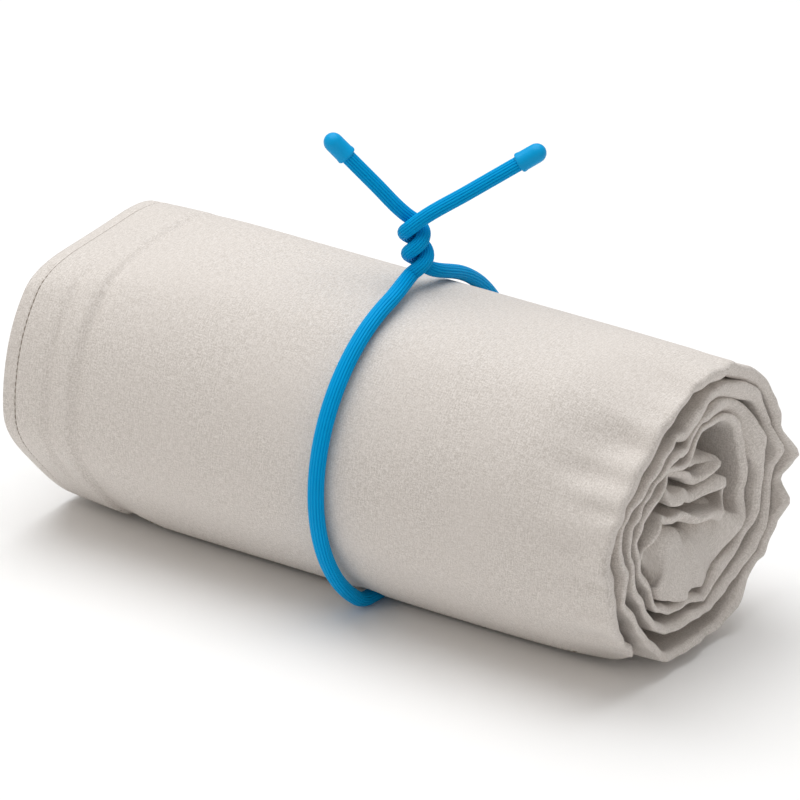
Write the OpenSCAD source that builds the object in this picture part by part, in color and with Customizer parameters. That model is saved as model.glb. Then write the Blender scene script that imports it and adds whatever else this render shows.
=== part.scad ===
// A cloth-covered sleeping pad, rolled up and held by a rubber-covered wire twist tie.
// +X runs along the roll, -Y is its front, +Z is up, and the ground is at Z = 0.
// Angles round the roll are measured from its top towards its front.

/* [Roll] */
// Diameter of the roll
roll_d = 140; // [132:1:150]
// Length of the roll along its axis
roll_l = 315; // [280:5:350]
// How far the underside is pressed flat by the ground
flat_depth = 4.5; // [3.5:0.5:5.5]
// Turns of the folded pad in the spiral
turns = 6; // [5:1:6]
// Thickness of one turn, which is the pad folded in half lengthways
turn_t = 10; // [9:0.5:10]
// Thickness of the foam sheet inside the cover
foam_t = 2.6; // [2:0.1:2.8]
// Length of empty, crumpled cover beyond the foam, at the +X end
slack_l = 70; // [30:5:100]
// Angle of the cover's free edge, near the underside
free_angle = 146; // [144:1:148]

/* [Tie] */
// Place of the tie along the roll
tie_x = 12; // [-40:1:40]
// Width of the rubber strand, across the face that lies on the roll
strand_w = 7.4; // [6.8:0.1:7.8]
// Thickness of the rubber strand
strand_t = 6.4; // [6:0.1:6.6]
// Diameter of the wire inside the rubber
wire_d = 1.8; // [1.4:0.1:2.2]
// Rise of one full turn of the twist
twist_pitch = 18.4; // [18:0.1:20]
// Diameter of the end caps
cap_d = 9; // [9:0.1:10.5]
// Length of the end caps
cap_l = 13; // [12:0.5:16]

/* [Stitching] */
// Width of the turned-over hems
hem_w = 8.5; // [7:0.5:12]
// Distance from one stitch to the next
stitch_pitch = 4.5; // [4:0.5:8]
// Length of one stitch
stitch_l = 3; // [2:0.25:3.5]

/* [Hidden] */

CLOTH = [0.84, 0.81, 0.76];
FOAM = [0.78, 0.77, 0.72];
THREAD = [0.45, 0.42, 0.38];
RUBBER = [0.02, 0.58, 0.88];
WIRE = [0.62, 0.63, 0.65];

roll_r = roll_d / 2;
axis_z = roll_r - flat_depth;
turn_gap = 0.8;
steps_per_turn = 40;

// The edge of the cover is thin at the free end and at the centre, and full a part of a turn later.
edge_t = 2.2;
edge_turns = 0.4;
blend_turns = 0.15;

// The tie passes under the roll inside the soft underside.
ground_gap = 0.2;
fit_gap = 0.3;
underside_h = ground_gap + strand_t + fit_gap;
underside_seam = 0.05;
tie_groove_w = strand_w + 2 * fit_gap;

// The foam is folded with its cover, so each turn holds it twice, joined by the fold at the +X end.
cover_wall_t = 1;
pocket_t = turn_t / 2 - 2 * cover_wall_t;
foam_margin = (pocket_t - foam_t) / 2;
foam_inset = 12;
foam_first = edge_turns;
foam_last = turns - 0.1;
foam_trim = 1 / steps_per_turn;
foam_cut = 0.3;

stitch_w = 0.7;
stitch_proud = 0.12;
stitch_deep = 0.6;
stitch_clear_angle = 6;

// ---- roll ----

function smooth(t) = let (c = min(max(t, 0), 1)) c * c * (3 - 2 * c);

function round_point(r, angle) = [-r * sin(angle), r * cos(angle)];

// Thickness of the turn, t turns in from the free edge.
function thick(t) = edge_t + (turn_t - edge_t) * smooth(t / edge_turns);

// Outer radius of the spiral, t turns in from the free edge.
function spiral_r(t) =
    t <= 1
        ? roll_r - (edge_t + turn_gap) * smooth((t - 1 + blend_turns) / blend_turns)
        : spiral_r(t - 1) - thick(t - 1) - turn_gap;

// Share of its radius that the roll keeps in a direction: less towards the flat underside.
function squeeze(angle) =
    let (down = -cos(angle), flat = axis_z - underside_h)
    down > 0 ? min(1, flat / (roll_r * down)) : 1;

function spiral_angle(t) = free_angle - 360 * t;

function spiral_point(t, r) = round_point(r * squeeze(spiral_angle(t)), spiral_angle(t));

// A line with both ends cut back by a share of its end steps.
function cut_back(line, share) =
    let (n = len(line) - 1)
    [for (i = [0:n])
        i == 0 ? line[0] + share * (line[1] - line[0])
            : i == n ? line[n] + share * (line[n - 1] - line[n])
            : line[i]];

// A band of even thickness that follows the middle of each turn, with its ends cut back.
function band_points(from, to, t_band, share = 0) =
    let (
        n = round((to - from) * steps_per_turn),
        ts = [for (i = [0:n]) from + (to - from) * i / n],
        mid = [for (t = ts) (spiral_r(t) - thick(t) / 2) * squeeze(spiral_angle(t))]
    )
    concat(
        cut_back([for (i = [0:n]) round_point(mid[i] + t_band / 2, spiral_angle(ts[i]))], share),
        cut_back([for (i = [n:-1:0]) round_point(mid[i] - t_band / 2, spiral_angle(ts[i]))], share)
    );

function cover_points() =
    let (n = turns * steps_per_turn, ts = [for (i = [0:n]) i / steps_per_turn])
    concat(
        [for (i = [0:n]) spiral_point(ts[i], spiral_r(ts[i]))],
        [for (i = [n:-1:0]) spiral_point(ts[i], spiral_r(ts[i]) - thick(ts[i]))]
    );

// Extrudes a shape drawn in Y and Z along X, centred on the roll's axis.
module along_roll(x0, x1) {
    translate([x0, 0, axis_z]) rotate([90, 0, 90]) linear_extrude(x1 - x0) children();
}

// A sheet that fills each half of the turn, from x0 to its fold. A margin thins it all round.
module folded_sheet(x0, margin) {
    trim = margin > 0 ? foam_trim : 0;
    from = foam_first + trim;
    to = foam_last - trim;
    sheet_t = pocket_t - 2 * margin;
    fold_x = roll_l / 2 - slack_l - margin;
    difference() {
        along_roll(x0, fold_x) polygon(band_points(from, to, turn_t / 2 + sheet_t, foam_cut));
        along_roll(x0 - 1, fold_x - sheet_t)
            polygon(band_points(from - foam_trim, to + foam_trim, turn_t / 2 - sheet_t));
    }
}

module pad_cover() {
    color(CLOTH) difference() {
        along_roll(-roll_l / 2, roll_l / 2) polygon(cover_points());
        folded_sheet(-roll_l / 2 - 1, 0);
    }
}

module foam_core() {
    color(FOAM) folded_sheet(-roll_l / 2 + foam_inset, foam_margin);
}

module underside_section() {
    intersection() {
        circle(r = roll_r, $fn = 120);
        translate([-roll_r, -axis_z]) square([roll_d, underside_h - underside_seam]);
    }
}

module cover_underside() {
    color(CLOTH) {
        along_roll(-roll_l / 2, tie_x - tie_groove_w / 2) underside_section();
        along_roll(tie_x + tie_groove_w / 2, roll_l / 2) underside_section();
    }
}

// One stitch on the outside of the roll, lying along X or round the roll.
module stitch(x, angle, size) {
    translate([x, 0, axis_z]) rotate([angle, 0, 0])
        translate([-size[0] / 2, -size[1] / 2, roll_r - stitch_deep])
            cube([size[0], size[1], stitch_deep + stitch_proud]);
}

module side_hem_stitching() {
    step = stitch_pitch / roll_r * 180 / PI;
    first = free_angle - stitch_clear_angle;
    last = -free_angle + stitch_clear_angle;
    color(THREAD) for (angle = [first:-step:last])
        stitch(-roll_l / 2 + hem_w, angle, [stitch_w, stitch_l, 0]);
}

module end_hem_stitching() {
    angle = free_angle - hem_w / roll_r * 180 / PI;
    count = floor((roll_l - 4 * hem_w) / stitch_pitch);
    color(THREAD) for (i = [0:count]) {
        x = -roll_l / 2 + 2 * hem_w + i * stitch_pitch;
        if (abs(x - tie_x) > strand_w) stitch(x, angle, [stitch_l, stitch_w, 0]);
    }
}

// ---- tie ----

loop_r = roll_r + strand_t / 2 + fit_gap;
loop_low = -(axis_z - ground_gap - strand_t / 2);
front_leaves = 16;
back_leaves = -27;
corner_angle = 180 - acos(-loop_low / loop_r);
corner_y = loop_r * sin(corner_angle);
corner_cut = 5;
loop_steps = 24;
twist_r = strand_t / 2 + 0.75;
twist_base = [tie_x - 2.5, 7, axis_z + 76.2];
twist_lean = [-0.2, 0, 1];
twist_turned = 395;
lead_handle = 9;
core_gap = 0.05;
strand_sides = 16;

function unit(v) = v / norm(v);

function bezier(p, t) =
    pow(1 - t, 3) * p[0] + 3 * pow(1 - t, 2) * t * p[1] + 3 * (1 - t) * t * t * p[2] + pow(t, 3) * p[3];

function loop_point(angle) =
    [tie_x, -loop_r * sin(angle), axis_z + loop_r * cos(angle)];

// Points of one strand of the twist, which starts at an angle round the twist's own axis.
function twist_point(start, turned) =
    twist_base + twist_lean * (twist_pitch * turned / 360)
        + twist_r * [cos(start + turned), sin(start + turned), 0];

function twist_direction(start, turned) =
    unit(twist_point(start, turned + 1) - twist_point(start, turned - 1));

// The lead from the loop up to the twist. way is 1 at the front of the roll and -1 at its back.
function lead_points(leaves, start, way) =
    let (
        from = loop_point(leaves),
        to = twist_point(start, 0),
        p = [
            from,
            from + way * lead_handle * [0, cos(leaves), sin(leaves)],
            to - lead_handle * 0.5 * twist_direction(start, 0),
            to
        ]
    )
    [for (i = [1:7]) bezier(p, i / 8)];

function twist_points(start) = [for (a = [0:18:twist_turned - 1]) twist_point(start, a)];

function reversed(v) = [for (i = [len(v) - 1:-1:0]) v[i]];

// Half of the loop, from where the strand leaves it down to the middle of the flat underside.
function half_loop(leaves, way) =
    let (
        low = [for (y = [corner_y - corner_cut, corner_y / 2]) [tie_x, -way * y, axis_z + loop_low]],
        end = corner_angle - corner_cut / loop_r * 180 / PI,
        corner = [tie_x, -way * corner_y, axis_z + loop_low],
        from = loop_point(way * end),
        turn = [for (t = [0.25, 0.5, 0.75])
            pow(1 - t, 2) * from + 2 * t * (1 - t) * corner + t * t * low[0]]
    )
    concat([for (i = [0:loop_steps]) loop_point(leaves + (way * end - leaves) * i / loop_steps)], turn, low);

front_twist = -90;
back_twist = 90;

tie_path = concat(
    reversed(twist_points(front_twist)),
    reversed(lead_points(front_leaves, front_twist, 1)),
    half_loop(front_leaves, 1),
    reversed(half_loop(back_leaves, -1)),
    lead_points(back_leaves, back_twist, -1),
    twist_points(back_twist)
);

function in_twist(p) = smooth((p[2] - twist_base[2] + 4) / 6);

// The strand's flat face looks away from the roll's axis on the loop, and from the twist's axis above it.
function outward(p) =
    let (
        h = p[2] - twist_base[2],
        flat = p[2] < axis_z + loop_low + 0.1 ? [0, 0, -1] : unit([0, p[1], p[2] - axis_z]),
        mid = twist_base + twist_lean * h,
        side = unit([p[0] - mid[0], p[1] - mid[1], 0])
    )
    in_twist(p) > 0 ? unit(flat * (1 - in_twist(p)) + side * in_twist(p)) : flat;

function tangent(path, i) =
    unit(path[min(i + 1, len(path) - 1)] - path[max(i - 1, 0)]);

// A ring of points round the path at point i, with half sizes a across and b outward. The twist is round.
function ring(path, i, a, b, sides) =
    let (
        t = tangent(path, i),
        across = unit(cross(t, outward(path[i]))),
        out = cross(across, t),
        half = a + (b - a) * in_twist(path[i])
    )
    [for (k = [0:sides - 1])
        path[i] + across * half * cos(360 * k / sides) + out * b * sin(360 * k / sides)];

function skin_faces(rings, sides, first, inside) = [
    for (i = [0:rings - 2], k = [0:sides - 1])
        let (
            a = first + i * sides + k, b = first + i * sides + (k + 1) % sides,
            c = b + sides, d = a + sides
        )
        each inside ? [[a, c, b], [a, d, c]] : [[a, b, c], [a, c, d]]
];

function end_faces(outer, inner, sides, inside) = [
    for (k = [0:sides - 1])
        let (a = outer + k, b = outer + (k + 1) % sides, c = inner + (k + 1) % sides, d = inner + k)
        each inside ? [[a, c, b], [a, d, c]] : [[a, b, c], [a, c, d]]
];

// A tube along a path, with a round bore.
module swept_tube(path, a, b, bore, sides) {
    n = len(path);
    points = concat(
        [for (i = [0:n - 1]) each ring(path, i, a, b, sides)],
        [for (i = [0:n - 1]) each ring(path, i, bore, bore, sides)]
    );
    inner = n * sides;
    faces = concat(
        skin_faces(n, sides, 0, false),
        skin_faces(n, sides, inner, true),
        end_faces(0, inner, sides, true),
        end_faces((n - 1) * sides, inner + (n - 1) * sides, sides, false)
    );
    polyhedron(points, faces);
}

module swept_rod(path, r, sides) {
    n = len(path);
    points = [for (i = [0:n - 1]) each ring(path, i, r, r, sides)];
    faces = concat(
        skin_faces(n, sides, 0, false),
        [[for (k = [0:sides - 1]) sides - 1 - k]],
        [[for (k = [0:sides - 1]) (n - 1) * sides + k]]
    );
    polyhedron(points, faces);
}

module tie_sleeve() {
    color(RUBBER)
        swept_tube(tie_path, strand_w / 2, strand_t / 2, wire_d / 2 + core_gap, strand_sides);
}

module tie_core() {
    color(WIRE) swept_rod(tie_path, wire_d / 2, strand_sides);
}

// ---- tails ----

// Each tail bends at its root and at its middle, where a ball of rubber stands for the bending wire.
tail_azimuth = [213, 35];
tail_rise = [47, 32];
tail_l = [49, 63];
root_share = 0.46;
root_step = 3.6;
ball_r = strand_t / 2 - 0.1;
ball_gap = 0.1;
cap_socket = 7;
cap_wire = 1.6;
bend_back = ball_r + ball_gap;
neck_l = bend_back - 0.8;
neck_r = ball_r - 0.3;
wire_back = ball_r - 0.4;

function tail_root(side) =
    let (start = side == 0 ? back_twist : front_twist)
    twist_point(start, twist_turned) + root_step * twist_direction(start, twist_turned);

function root_l(side) = tail_l[side] * root_share;

function tip_l(side) = tail_l[side] - root_l(side);

// Draws what is along +Z at a tail's root, or at its middle bend.
module on_tail(side, up) {
    translate(tail_root(side)) rotate([0, 90 - tail_rise[side], tail_azimuth[side]])
        translate([0, 0, up]) children();
}

module strand_section(grow) {
    polygon([for (k = [0:2 * strand_sides - 1])
        let (a = 180 * k / strand_sides)
        [(strand_t / 2 + grow) * cos(a), (strand_w / 2 + grow) * sin(a)]]);
}

// A straight strand on a short neck and a ball, which is centred on its bend.
module straight_strand(to) {
    difference() {
        union() {
            sphere(r = ball_r, $fn = 48);
            translate([0, 0, neck_l]) linear_extrude(to - neck_l) strand_section(0);
            cylinder(r = neck_r, h = neck_l + 0.5, $fn = 48);
        }
        translate([0, 0, -ball_r - 1]) cylinder(d = wire_d + 2 * core_gap, h = to + ball_r + 2, $fn = 32);
    }
}

module straight_wire(to) {
    translate([0, 0, -wire_back]) cylinder(d = wire_d, h = to + wire_back, $fn = 32);
}

module tail_sleeve(side) {
    color(RUBBER) on_tail(side, 0) straight_strand(root_l(side) - bend_back);
}

module tail_core(side) {
    color(WIRE) on_tail(side, 0) straight_wire(root_l(side) - bend_back);
}

module tip_sleeve(side) {
    color(RUBBER) on_tail(side, root_l(side)) straight_strand(tip_l(side) - cap_l + cap_socket);
}

module tip_core(side) {
    color(WIRE) on_tail(side, root_l(side)) straight_wire(tip_l(side) - cap_l + cap_socket + cap_wire);
}

// A bullet-shaped cap, drawn from its open rim up to its dome.
module cap(side) {
    dome_r = cap_d / 2;
    rim_round = 0.5;
    color(RUBBER) on_tail(side, tail_l[side] - cap_l) difference() {
        rotate_extrude($fn = 64) union() {
            square([dome_r - rim_round, cap_l - dome_r]);
            translate([0, rim_round]) square([dome_r, cap_l - dome_r - rim_round]);
            translate([dome_r - rim_round, rim_round]) circle(r = rim_round, $fn = 32);
            intersection() {
                translate([0, cap_l - dome_r]) circle(r = dome_r, $fn = 64);
                square([dome_r, cap_l]);
            }
        }
        translate([0, 0, -1]) linear_extrude(cap_socket + 1 + core_gap) strand_section(core_gap);
        cylinder(d = wire_d + 2 * core_gap, h = cap_socket + cap_wire + 2 * core_gap, $fn = 32);
    }
}

pad_cover();
cover_underside();
foam_core();
side_hem_stitching();
end_hem_stitching();
tie_sleeve();
tie_core();
tail_sleeve(0);  // left_tail_sleeve
tail_core(0);  // left_tail_core
tip_sleeve(0);  // left_tip_sleeve
tip_core(0);  // left_tip_core
cap(0);  // left_cap
tail_sleeve(1);  // right_tail_sleeve
tail_core(1);  // right_tail_core
tip_sleeve(1);  // right_tip_sleeve
tip_core(1);  // right_tip_core
cap(1);  // right_cap
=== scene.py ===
"""Looks of the rolled sleeping pad: folded canvas, foam, hem stitches and the ribbed rubber tie.

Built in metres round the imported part. +X runs along the roll, -Y is its front and +Z is up.
Angles round the roll are measured from its top towards its front.
"""

import math

import bpy
import numpy as np
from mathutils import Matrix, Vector


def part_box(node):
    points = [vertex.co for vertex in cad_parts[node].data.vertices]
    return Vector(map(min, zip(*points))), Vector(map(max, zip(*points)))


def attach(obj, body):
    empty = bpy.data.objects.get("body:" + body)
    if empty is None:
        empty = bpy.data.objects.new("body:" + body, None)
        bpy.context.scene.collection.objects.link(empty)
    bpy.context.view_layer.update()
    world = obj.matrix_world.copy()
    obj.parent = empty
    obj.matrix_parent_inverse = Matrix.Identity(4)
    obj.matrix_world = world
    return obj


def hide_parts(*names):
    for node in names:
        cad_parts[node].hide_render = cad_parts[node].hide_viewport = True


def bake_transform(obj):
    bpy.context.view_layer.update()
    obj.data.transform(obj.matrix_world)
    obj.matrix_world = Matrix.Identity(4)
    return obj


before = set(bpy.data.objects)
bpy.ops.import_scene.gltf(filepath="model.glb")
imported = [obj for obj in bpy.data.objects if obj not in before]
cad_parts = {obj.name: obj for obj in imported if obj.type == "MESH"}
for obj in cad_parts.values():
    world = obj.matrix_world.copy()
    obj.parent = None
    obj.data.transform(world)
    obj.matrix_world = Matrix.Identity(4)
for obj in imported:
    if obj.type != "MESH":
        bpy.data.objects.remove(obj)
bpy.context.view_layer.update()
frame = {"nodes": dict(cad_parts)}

MM = 0.001

# ---------------------------------------------------------------- sizes

roll_lo, roll_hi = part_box("pad_cover")
LEFT_X, RIGHT_X = roll_lo[0], roll_hi[0]
ROLL_R = (roll_hi[1] - roll_lo[1]) / 2
AXIS_Z = roll_hi[2] - ROLL_R
foam_lo, foam_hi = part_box("foam_core")
FOAM_LEFT_X, FOAM_RIGHT_X = foam_lo[0], foam_hi[0]

# The folded pad is rolled inward from its free edge, where it is thin
TURN_T = 10 * MM
TURN_GAP = 0.8 * MM
EDGE_T = 2.2 * MM
EDGE_TURNS = 0.4
BLEND_TURNS = 0.15
FREE_ANGLE = math.radians(158)
SPIRAL_TURNS = 5.6
TURN_STEP = 0.003
PATH_STEP = 2.5 * MM

# The open end is looser than the rest. Its places are turns inward from this angle, near the free edge.
END_ANGLE = math.radians(152)
END_START = (FREE_ANGLE - END_ANGLE) / (2 * math.pi)
# Further in than this it is folded to and fro
END_TURNS = 4.17
# Its outer radius, what that loses a turn, and how much less it loses with each turn inward
END_R = 69 * MM
END_PITCH = 9.6 * MM
END_TIGHTENING = 0.3 * MM
# Every turn is pressed in near the top and bulges at the back: place in the turn, height and reach
END_LOBES = [(0.34, -10.5 * MM, 0.13), (0.64, 10.5 * MM, 0.21)]
# The outermost turn has weaker lobes than the rest, and its own: it lies close at its edge, stands off at the
# front and the top, and sags to the floor
OUTER_STRENGTH = 0.7
OUTER_LOBES = [(0, -3 * MM, 0.08), (0.14, 2 * MM, 0.12), (0.42, 3.5 * MM, 0.12), (0.92, 4.5 * MM, 0.11)]
# Stretches where the folded pad is plump: start, end and half of its thickness
PLUMPS = [
    (0.11, 0.37, 4.9 * MM),
    (0.42, 0.55, 3.2 * MM),
    (1.39, 1.55, 4 * MM),
    (2.47, 2.64, 4 * MM),
    (3.75, 3.995, 15 * MM),
    (3.98, 4.12, 14.5 * MM),
]
# Turns over which it swells to that
PLUMP_EASE = 0.06
# Half of its thickness elsewhere, and how much of that it has at its free edge
THIN_HALF = 1.7 * MM
THIN_EDGE = 0.65
THIN_EDGE_TURNS = 0.08
# How far the open end falls short of the full length at its outer edge, and how much more a turn further in
RECESS = 1 * MM
RECESS_PITCH = 1.2 * MM
# Near the free edge it slants back by this much, over this part of a turn
FLAP_SLANT = 15 * MM
FLAP_SLANT_TURNS = 0.035
# Pointed corners that stick out: place, length and reach
CORNERS = [
    (0.656, 8.5 * MM, 0.026),
    (0.71, 6 * MM, 0.022),
    (1.644, 6.5 * MM, 0.026),
    (2.62, 5 * MM, 0.05),
    (3.97, 5 * MM, 0.15),
    (4.45, 4 * MM, 0.12),
]
# The folds to and fro in the middle of the open end, as Y and Z from the roll's axis in mm
END_FOLDS = [
    (-20, 6), (4, 0), (28, -7), (33, -1), (24, 4), (-8, 12),
    (-15, 18), (-6, 22), (8, 14), (22, 17), (2, 26),
]
FOLD_SPAN_POINTS = 24
# Points of the last turn that lead into the folds, and points over which the whole line is smoothed
LEAD_IN = 16
END_SMOOTHING = 5
# Where along X the turns begin to loosen, and over what length, for the turn counts given
LOOSE_TURNS = [0, 1, 3]
LOOSE_X = [108 * MM, 96 * MM, 88 * MM]
LOOSE_LENGTH = [47 * MM, 48 * MM, 38 * MM]

CLOTH_HALF_T = 0.45 * MM
# The hem is thicker than the rest and ends in a soft edge. Its seam is pressed in.
HEM_W = 8 * MM
HEM_EXTRA = 0.35 * MM
HEM_EASE = 1.2 * MM
SEAM_X = 6.4 * MM
SEAM_DEPTH = 0.45 * MM
SEAM_HALF_W = 0.7 * MM
FOAM_HALF_T = 1.3 * MM
# From the middle of the folded pad to the middle of each layer of foam
FOAM_OFFSET = 2.1 * MM
FOAM_END_GAP = 14 * MM

TIE_X = 12 * MM
STRAND_W = 7.4 * MM
STRAND_T = 6.4 * MM
FIT_GAP = 0.3 * MM
GROUND_GAP = 0.2 * MM
GROOVE_H = GROUND_GAP + STRAND_T + FIT_GAP

# The cloth is crumpled from here to the open end
CRUMPLE_X = 78 * MM


def smooth(t):
    c = np.clip(t, 0, 1)
    return c * c * (3 - 2 * c)


def waves(points, length, seed, count=12, sharp=0.0):
    """Random values with about unit spread, which change over the given length.

    Sharp ones form flats and creases.
    """
    rng = np.random.default_rng(seed)
    points = np.atleast_2d(points)
    directions = rng.normal(size=(points.shape[-1], count))
    directions /= np.linalg.norm(directions, axis=0)
    pitch = 2 * math.pi / length * rng.uniform(0.6, 1.5, count)
    phase = rng.uniform(0, 2 * math.pi, count)
    wave = np.sin(points @ (directions * pitch) + phase)
    if sharp:
        wave = np.arcsin(sharp * wave) / math.asin(sharp)
    return wave.sum(axis=-1) * math.sqrt(2 / count)


# ---------------------------------------------------------------- path of the folded pad


def turn_thickness(t):
    return EDGE_T + (TURN_T - EDGE_T) * smooth(t / EDGE_TURNS)


def turn_radius(t):
    """Outer radius of the spiral, t turns in from the free edge."""
    if t <= 1:
        return ROLL_R - (EDGE_T + TURN_GAP) * smooth((t - 1 + BLEND_TURNS) / BLEND_TURNS)
    return turn_radius(t - 1) - turn_thickness(t - 1) - TURN_GAP


def catmull(points, per_span):
    """A smooth curve through the points."""
    p = np.array([2 * points[0] - points[1], *points, 2 * points[-1] - points[-2]])
    t = np.linspace(0, 1, per_span, endpoint=False)[:, None]
    spans = [
        0.5 * (2 * b + (c - a) * t + (2 * a - 5 * b + 4 * c - d) * t**2 + (3 * b - a - 3 * c + d) * t**3)
        for a, b, c, d in zip(p, p[1:], p[2:], p[3:])
    ]
    return np.vstack([*spans, points[-1]])


def resample(points, step, axes=3):
    """Points at even steps, measured over the first axes, and their distances from the start."""
    steps = np.linalg.norm(np.diff(points[:, :axes], axis=0), axis=1)
    lengths = np.concatenate([[0], np.cumsum(steps)])
    s = np.linspace(0, lengths[-1], int(lengths[-1] / step) + 1)
    return np.stack([np.interp(s, lengths, points[:, k]) for k in range(points.shape[1])], axis=1), s


def outward_sides(line):
    along = unit_rows(np.gradient(line, axis=0))
    return np.stack([-along[:, 1], along[:, 0]], axis=1)


def unit_rows(v):
    return v / np.maximum(np.linalg.norm(v, axis=-1), 1e-12)[..., None]


def eased(values, width):
    """Values smoothed over a number of neighbours."""
    kernel = np.hanning(width + 2)[1:-1]
    padded = np.pad(values, width // 2, mode="edge")
    return np.convolve(padded, kernel / kernel.sum(), "valid")


def bump(x, reach):
    """1 around the middle, and 0 beyond the reach."""
    return smooth(1.5 * (1 - np.abs(x) / reach))


def end_radius(turns):
    """Outer radius of the open end."""
    t = turns - END_START
    radius = END_R - END_PITCH * t + END_TIGHTENING * t**2
    strength = OUTER_STRENGTH + (1 - OUTER_STRENGTH) * smooth(t - 0.5)
    for place, height, reach in END_LOBES:
        radius = radius + strength * height * bump(t % 1 - place, reach)
    for place, height, reach in OUTER_LOBES:
        radius = radius + height * bump(t - place, reach)
    return radius


def end_half(turns):
    """Half of the folded pad's thickness at the open end."""
    t = turns - END_START
    half = THIN_HALF * (THIN_EDGE + (1 - THIN_EDGE) * smooth(t / THIN_EDGE_TURNS))
    for start, stop, plump in PLUMPS:
        inside = np.minimum(t - start, stop - t)
        half = half + np.maximum(plump - half, 0) * smooth(inside / PLUMP_EASE + 0.5)
    return half


def end_recess(turns):
    """How far the open end falls short of the roll's full length."""
    t = turns - END_START
    recess = RECESS + RECESS_PITCH * t + FLAP_SLANT * np.exp(-t / FLAP_SLANT_TURNS)
    for place, length, reach in CORNERS:
        recess = recess - length * np.clip(1 - np.abs(t - place) / reach, 0, 1)
    return recess


def around(radius, turns):
    """Y and Z from the axis, at a radius and a number of turns in from the free edge."""
    angle = FREE_ANGLE - 2 * math.pi * turns
    return np.stack([-radius * np.sin(angle), radius * np.cos(angle)], axis=1)


def pad_path():
    """The middle of the folded pad away from the open end, in Y and Z from the axis.

    Also each point's turn count and the length so far.
    """
    turns = np.arange(0, SPIRAL_TURNS, TURN_STEP)
    radius = np.array([turn_radius(t) - turn_thickness(t) / 2 for t in turns])
    path, s = resample(np.column_stack([around(radius, turns), turns]), PATH_STEP, axes=2)
    return path[:, :2], path[:, 2], s


def end_path(turns):
    """The middle of the folded pad at the open end, at each turn count: loose turns, then folds."""
    is_round = turns < END_TURNS + END_START
    loose = around(end_radius(turns[is_round]) - end_half(turns[is_round]), turns[is_round])
    lead_in = [loose[-LEAD_IN], loose[-1]]
    folds = catmull(np.vstack([*lead_in, np.array(END_FOLDS) * MM]), FOLD_SPAN_POINTS)[FOLD_SPAN_POINTS:]
    lengths = np.concatenate([[0], np.cumsum(np.linalg.norm(np.diff(folds, axis=0), axis=1))])
    places = np.linspace(0, lengths[-1], (~is_round).sum() + 1)[1:]
    core = np.stack([np.interp(places, lengths, folds[:, k]) for k in (0, 1)], axis=1)
    whole = np.vstack([loose, core])
    return np.stack([eased(whole[:, k], END_SMOOTHING) for k in (0, 1)], axis=1)


PATH, PATH_TURN, PATH_S = pad_path()
END_PATH = end_path(PATH_TURN)
PATH_OUT, END_OUT = outward_sides(PATH), outward_sides(END_PATH)
PATH_HALF = turn_thickness(PATH_TURN) / 2 - CLOTH_HALF_T
PATH_END_HALF = end_half(PATH_TURN)
PATH_LENGTH = PATH_S[-1]


def loosened(x):
    """How far each place on the path has loosened towards its open-end shape, at each X."""
    start = np.interp(PATH_TURN, LOOSE_TURNS, LOOSE_X)
    length = np.interp(PATH_TURN, LOOSE_TURNS, LOOSE_LENGTH)
    return smooth((x - start) / length)


def on_path(x, side):
    """Points at X on one side of the folded pad. side is 1 outside, -1 inside, and between them within it."""
    share = loosened(x)
    middle = PATH + (END_PATH - PATH) * share[:, None]
    out = unit_rows(PATH_OUT + (END_OUT - PATH_OUT) * share[:, None])
    half = PATH_HALF + (PATH_END_HALF - PATH_HALF) * share
    return middle + out * (half * side)[:, None]


# ---------------------------------------------------------------- how the roll sits and creases

# Length of each kind of crease, its size near the outside and in the core, and its seed
CREASES = [
    (42 * MM, 0.9 * MM, 1.3 * MM, 11),
    (24 * MM, 0.6 * MM, 1.5 * MM, 23),
    (12 * MM, 0.22 * MM, 0.45 * MM, 37),
]
# Creases are drawn out along the roll. Inside the core radius they have their full core size.
CREASE_DRAW = np.array([0.4, 1, 1])
CORE_R, CORE_BLEND = 18 * MM, 46 * MM
# Outside this radius they go inward only
RIM_R, RIM_BLEND = 38 * MM, 26 * MM
RIM_INWARD = 0.35

# Pleats from here to the open end, and dents all over
PLEAT_X = 104 * MM
PLEAT_SIZE = 0.9 * MM
PLEAT_LENGTH = 24 * MM
PLEAT_DRAW = 0.22
DENT_SIZE = 0.9 * MM
DENT_LENGTH = 75 * MM
DENT_DRAW = np.array([2.2, 1, 1])
# Angle, distance back from the open end, depth, half width in degrees and half length of each dent
END_DENTS = [
    (22, 10, 2.2, 5, 12),
    (38, 15, 4.6, 6, 12),
    (48, 9, -1.6, 3, 9),
    (55, 24, 3.2, 4.5, 12),
    (62, 13, -1.4, 3, 11),
    (69, 12, 2.8, 4, 13),
    (84, 19, 2.4, 4, 13),
    (95, 12, 1.6, 4, 14),
    (106, 8, 2.6, 4, 12),
    (126, 14, 2.8, 6, 14),
]
# Distance from the left end, depth, width and reach in degrees of each soft step round the roll
LEFT_RIDGES = [(20, 1.5, 5, 38), (34, 2.4, 10, 80)]
LEFT_RIDGE_STEP = 3.2
LEFT_RIDGE_ANGLE = math.radians(72)
LEFT_RIDGE_FADE = 0.5
# Angle, distance from the axis at the end and length of each flat at the left end
LEFT_FLATS = [(4, 56, 80), (134, 62.5, 60)]
LEFT_BLEND = 0.14
LEFT_FLAT_CURVE = 1.3

GROOVE_HALF_W = 4.6 * MM
GROOVE_SIDE = 6.5 * MM
FLAT_BLEND = 0.012
LEAST_COSINE = 0.05


def least_with_one(values, blend):
    """The lower of each value and one, with a soft change between them."""
    mix = np.clip(0.5 + 0.5 * (values - 1) / blend, 0, 1)
    return np.minimum(values * (1 - mix) + mix - blend * mix * (1 - mix), 1)


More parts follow.
